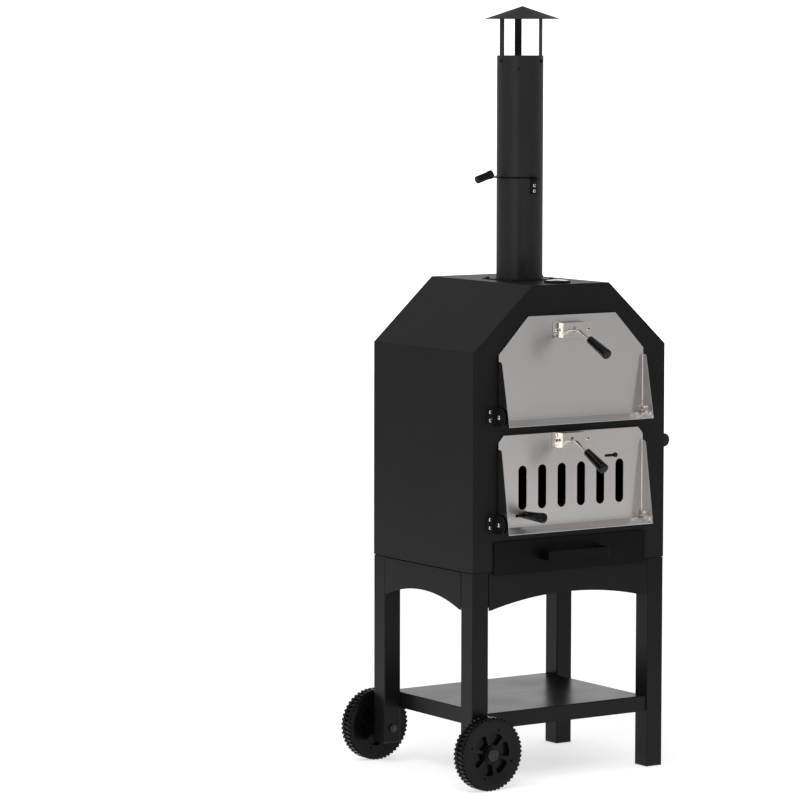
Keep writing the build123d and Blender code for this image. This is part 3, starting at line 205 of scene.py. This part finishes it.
FINISHES = {
    "black_coat": dict(
        dark=(0.008, 0.008, 0.0082),
        light=(0.0102, 0.0102, 0.0105),
        rough=(0.38, 0.48),
        specular=0.15,
        depth=0.02 * MM,
    ),
    "pipe_coat": dict(
        dark=(0.009, 0.009, 0.0092),
        light=(0.0115, 0.0115, 0.0118),
        rough=(0.36, 0.46),
        specular=0.4,
        depth=0.02 * MM,
    ),
    # the same black coat made darker and less glossy: painted shade on the drawer under the body's lip
    "shaded_drawer_coat": dict(
        dark=(0.003, 0.003, 0.0031),
        light=(0.0042, 0.0042, 0.0043),
        rough=(0.38, 0.5),
        specular=0.1,
        depth=0.02 * MM,
    ),
    "frame_coat": dict(
        dark=(0.006, 0.006, 0.0062),
        light=(0.0081, 0.0081, 0.0084),
        rough=(0.26, 0.36),
        specular=0.145,
        depth=0.02 * MM,
    ),
    "stainless": dict(
        dark=(0.665, 0.642, 0.63),
        light=(0.7, 0.674, 0.66),
        rough=(0.2, 0.27),
        mottle=4.0,
        grain=1.0,
        depth=0.02 * MM,
        stretch=(14, 2600, 2600),
        metallic=1.0,
        edge=0.4 * MM,
        brushed=0.8,
    ),
    "zinc": dict(
        dark=(0.8, 0.755, 0.71),
        light=(0.86, 0.815, 0.765),
        rough=(0.12, 0.2),
        mottle=60.0,
        metallic=1.0,
        edge=0.3 * MM,
        depth=0.004 * MM,
    ),
    "dark_zinc": dict(
        dark=(0.012, 0.012, 0.012),
        light=(0.022, 0.022, 0.021),
        rough=(0.26, 0.4),
        mottle=150.0,
        depth=0.01 * MM,
    ),
    "galvanised": dict(
        dark=(0.34, 0.35, 0.36),
        light=(0.5, 0.51, 0.52),
        rough=(0.32, 0.5),
        mottle=70.0,
        metallic=1.0,
        depth=0.01 * MM,
    ),
    "grip": dict(
        dark=(0.0012, 0.0012, 0.0013),
        light=(0.0022, 0.0022, 0.0023),
        rough=(0.06, 0.1),
        mottle=30.0,
        grain=420.0,
        depth=0.003 * MM,
        specular=0.24,
        edge=0.8 * MM,
    ),
    "wheel_plastic": dict(
        dark=(0.0014, 0.0014, 0.0015),
        light=(0.0028, 0.0028, 0.003),
        rough=(0.22, 0.34),
        mottle=24.0,
        grain=700.0,
        specular=0.17,
    ),
    "cap_plastic": dict(
        dark=(0.003, 0.003, 0.003),
        light=(0.006, 0.006, 0.006),
        rough=(0.22, 0.34),
        mottle=30.0,
        specular=0.4,
    ),
    "wire": dict(
        dark=(0.02, 0.02, 0.02),
        light=(0.045, 0.043, 0.04),
        rough=(0.3, 0.45),
        mottle=60.0,
        metallic=0.6,
        depth=0.01 * MM,
    ),
    "stone": dict(
        dark=(0.56, 0.455, 0.3),
        light=(0.7, 0.585, 0.41),
        rough=(0.72, 0.9),
        mottle=7.0,
        grain=380.0,
        depth=0.12 * MM,
        edge=1.0 * MM,
        fleck=(900.0, (0.46, 0.36, 0.24), 0.35),
    ),
    "dial": dict(
        dark=(0.8, 0.8, 0.78),
        light=(0.88, 0.88, 0.86),
        rough=(0.35, 0.45),
        mottle=80.0,
        edge=0.0,
        depth=0.005 * MM,
    ),
    "pointer": dict(
        dark=(0.3, 0.015, 0.01),
        light=(0.4, 0.025, 0.015),
        rough=(0.3, 0.4),
        mottle=200.0,
        edge=0.0,
        depth=0.005 * MM,
    ),
    "window": dict(
        dark=(0.93, 0.96, 0.96),
        light=(0.98, 1.0, 1.0),
        rough=(0.02, 0.05),
        mottle=60.0,
        clear=1.0,
        edge=0.0,
        depth=0.002 * MM,
    ),
    "ink": dict(
        dark=(0.008, 0.008, 0.008),
        light=(0.02, 0.02, 0.02),
        rough=(0.4, 0.55),
        mottle=300.0,
        edge=0.0,
        depth=0.003 * MM,
    ),
    # painted shade: the dark colour of the thin dots that stand in for the hollows of screws and rivets
    "painted_hollow_shade": dict(
        dark=(0.01, 0.01, 0.01),
        light=(0.025, 0.025, 0.024),
        rough=(0.5, 0.7),
        mottle=300.0,
        edge=0.0,
    ),
}
LOOKS = {name: finish_material(name, **finish) for name, finish in FINISHES.items()}

# nodes that look different from the rest of their material slot; the drawer's front and handle take a darker,
# less glossy copy of the black coat, which is painted shade under the body's lip
LOOK_OF_NODE = {
    "chimney_pipe": "pipe_coat",
    "cap_straps": "pipe_coat",
    "drawer_front": "shaded_drawer_coat",
    "drawer_handle": "shaded_drawer_coat",
}
slot_of = {row["node"]: row["material_slot"] for row in frame["record"]["subparts"]}
for node, obj in frame["nodes"].items():
    obj.data.materials.clear()
    obj.data.materials.append(LOOKS[LOOK_OF_NODE.get(node, slot_of[node])])


# ---------------------------------------------------------------- pieces the CAD leaves out
def centre_of(node):
    low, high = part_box(node)
    return (Vector(low) + Vector(high)) / 2


def body_of_node(node):
    return next(b for b, names in frame["record"]["behaviour"]["bodies"].items() if node in names)


def mesh_object(name, build, material):
    """A new object whose mesh the build function draws."""
    bm = bmesh.new()
    build(bm)
    mesh = bpy.data.meshes.new(name)
    bm.to_mesh(mesh)
    bm.free()
    obj = bpy.data.objects.new(name, mesh)
    bpy.context.scene.collection.objects.link(obj)
    mesh.materials.append(material)
    return obj


def piece(name, build, look, body):
    """A new mesh that rides on a CAD body."""
    obj = mesh_object(name, build, LOOKS[look])
    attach(obj, body)


def add_bar(bm, centre, size, turn):
    """A box of the size, turned about its own Z."""
    matrix = Matrix.Translation(centre) @ Matrix.Rotation(turn, 4, "Z")
    bmesh.ops.create_cube(bm, size=1.0, matrix=matrix @ Matrix.Diagonal((*size, 1)))


def add_dot(bm, centre, radius):
    """A thin round plate that faces the front."""
    matrix = Matrix.Translation(centre) @ Matrix.Rotation(pi / 2, 4, "X")
    bmesh.ops.create_cone(
        bm, cap_ends=True, segments=24, radius1=radius, radius2=radius, depth=SHADE_DOT_SHEET, matrix=matrix
    )


def dial_marks(bm):
    """Ticks round three quarters of the dial, longer at every fifth."""
    low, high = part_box("thermometer_dial")
    x, y = (low[0] + high[0]) / 2, (low[1] + high[1]) / 2
    height = low[2] + DIAL_SHEET + MARK_RISE
    for i in range(MARK_COUNT):
        angle = radians(FIRST_MARK - MARK_STEP * i)
        length, width = SHORT_MARK if i % MARKS_PER_LONG else LONG_MARK
        radius = DIAL_RING - length / 2
        centre = (x + radius * cos(angle), y + radius * sin(angle), height)
        add_bar(bm, centre, (length, width, MARK_SHEET), angle)


def damper_screw_shade_dots(bm):
    """Dark dots of painted shade in the hollow middles of the damper bracket's two screws."""
    low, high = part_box("damper_screws")
    for z in (low[2] + DAMPER_SCREW_RADIUS, high[2] - DAMPER_SCREW_RADIUS):
        add_dot(bm, ((low[0] + high[0]) / 2, low[1], z), DAMPER_SHADE_DOT)


def latch_rivet_shade_dots(bracket):
    """Dark dots of painted shade in the hollow middles of a latch bracket's two rivets."""

    def build(bm):
        low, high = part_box(bracket)
        for x in (low[0] + LEFT_RIVET_INSET, high[0] - RIGHT_RIVET_INSET):
            add_dot(bm, (x, high[1] - RIVET_FACE, (low[2] + high[2]) / 2), RIVET_SHADE_DOT)

    return build


piece("dial_marks", dial_marks, "ink", body_of_node("thermometer_dial"))
# thin dark dots of painted shade in the hollow middles of the damper's screws and the latches' rivets
piece("damper_screw_shade_dots", damper_screw_shade_dots, "painted_hollow_shade", body_of_node("damper_screws"))
for latch in ("upper", "lower"):
    bracket = latch + "_latch_bracket"
    piece(latch + "_latch_rivet_shade_dots", latch_rivet_shade_dots(bracket), "painted_hollow_shade", body_of_node(bracket))


# ---------------------------------------------------------------- stage
def area_light(name, place, target, size, power):
    data = bpy.data.lights.new(name, "AREA")
    data.shape = "RECTANGLE"
    data.size, data.size_y = size
    data.energy = power
    obj = bpy.data.objects.new(name, data)
    bpy.context.scene.collection.objects.link(obj)
    obj.location = place
    obj.rotation_euler = (target - place).to_track_quat("-Z", "Y").to_euler()


def paper(name, whiteness, glow=0.0):
    """A matt sheet that can also shine a little."""
    material = finish_material(
        name,
        dark=(whiteness - 0.02,) * 3,
        light=(whiteness,) * 3,
        rough=(0.8, 0.95),
        mottle=0.7,
        grain=60.0,
        edge=0.0,
        specular=0.1,
    )
    shader = material.node_tree.nodes["Principled BSDF"]
    shader.inputs["Emission Color"].default_value = (*WHITE, 1)
    shader.inputs["Emission Strength"].default_value = glow
    return material


def stage_sheet(name, matrix, size, material):
    """A flat rectangle of the studio."""

    def build(bm):
        sized = matrix @ Matrix.Diagonal((*size, 1, 1))
        bmesh.ops.create_grid(bm, x_segments=1, y_segments=1, size=0.5, matrix=sized)

    mesh_object(name, build, material)


def lit_strip(material, strength, centre, yaw):
    """The floor glows in a soft-edged strip that runs back from the object, as a lit sweep does."""
    tree = material.node_tree
    shader = tree.nodes["Principled BSDF"]
    coords = tree.nodes.new("ShaderNodeTexCoord").outputs["Object"]
    mapping = tree.nodes.new("ShaderNodeMapping")
    mapping.vector_type = "TEXTURE"
    mapping.inputs["Location"].default_value = centre
    mapping.inputs["Rotation"].default_value = (0, 0, -yaw)
    link(tree, coords, mapping.inputs["Vector"])
    split = tree.nodes.new("ShaderNodeSeparateXYZ")
    link(tree, mapping.outputs["Vector"], split.inputs[0])
    across = math_node(tree, "ABSOLUTE")
    link(tree, split.outputs["X"], across.inputs[0])
    glow = math_node(tree, "MULTIPLY")
    sideways = ramp(tree, across.outputs[0], GLOW_FULL, GLOW_END, strength, 0.0, smooth=True)
    lengthways = ramp(tree, split.outputs["Y"], GLOW_START, GLOW_RISEN, 0.0, 1.0, smooth=True)
    link(tree, sideways, glow.inputs[0])
    link(tree, lengthways, glow.inputs[1])
    link(tree, glow.outputs[0], shader.inputs["Emission Strength"])


def up(height):
    return Vector((0, 0, height))


body = centre_of("outer_shell")
foot = Vector((body.x, body.y, 0))
aim = foot + up(AIM_HEIGHT)
away = Vector((sin(VIEW_YAW), cos(VIEW_YAW), 0))
beside = Vector((cos(VIEW_YAW), -sin(VIEW_YAW), 0))
turn = Matrix.Rotation(-VIEW_YAW, 4, "Z")

floor_paper = paper("floor_paper", 0.9)
lit_strip(floor_paper, FLOOR_GLOW, foot, VIEW_YAW)
stage_sheet("floor", Matrix.Translation(foot) @ turn, FLOOR_SIZE, floor_paper)

backdrop_place = foot + away * BACKDROP_AWAY + up(BACKDROP_HEIGHT)
upright = Matrix.Translation(backdrop_place) @ turn @ Matrix.Rotation(pi / 2, 4, "X")
stage_sheet("backdrop", upright, BACKDROP_SIZE, paper("back_paper", 0.6, 1.0))

world = bpy.data.worlds.new("studio")
bpy.context.scene.world = world
world.use_nodes = True
world.node_tree.nodes["Background"].inputs["Color"].default_value = (*WHITE, 1)
world.node_tree.nodes["Background"].inputs["Strength"].default_value = WORLD_GLOW

area_light("key", foot + Vector((-2.4, -0.6, 3.4)), aim, (1.6, 1.6), 20)
area_light("left_front_strip", foot - beside * 1.4 - away * 3.3 + up(1.2), aim, (0.36, 2.4), 7)
area_light("low_streak", foot + Vector((-0.95, -2.9, 0.12)), foot + Vector((0, -0.3, 0.85)), (0.12, 0.5), 5.0)

# a dark card behind the camera, which the polished metal mirrors
flag_place = foot - away * FLAG_NEAR + up(FLAG_HEIGHT)
facing_oven = (aim - flag_place).to_track_quat("Z", "Y").to_matrix().to_4x4()
stage_sheet("flag", Matrix.Translation(flag_place) @ facing_oven, FLAG_SIZE, paper("flag", 0.05, FLAG_GLOW))

area_light("front", foot - away * 3.2 + up(3.6), aim + up(0.3), (0.6, 1.6), 24)

# ---------------------------------------------------------------- camera
camera_data = bpy.data.cameras.new("camera")
camera = bpy.data.objects.new("camera", camera_data)
bpy.context.scene.collection.objects.link(camera)
camera_data.sensor_width = SENSOR_WIDTH
camera_data.lens = LENS
camera_data.clip_end = CLIP_END
camera.location = (body.x + CAMERA_FROM_BODY[0], body.y + CAMERA_FROM_BODY[1], CAMERA_HEIGHT)
camera.rotation_euler = Euler((pi / 2 - CAMERA_TILT, CAMERA_ROLL, -VIEW_YAW), "XYZ")
bpy.context.scene.camera = camera
bpy.context.scene.view_settings.view_transform = "Standard"
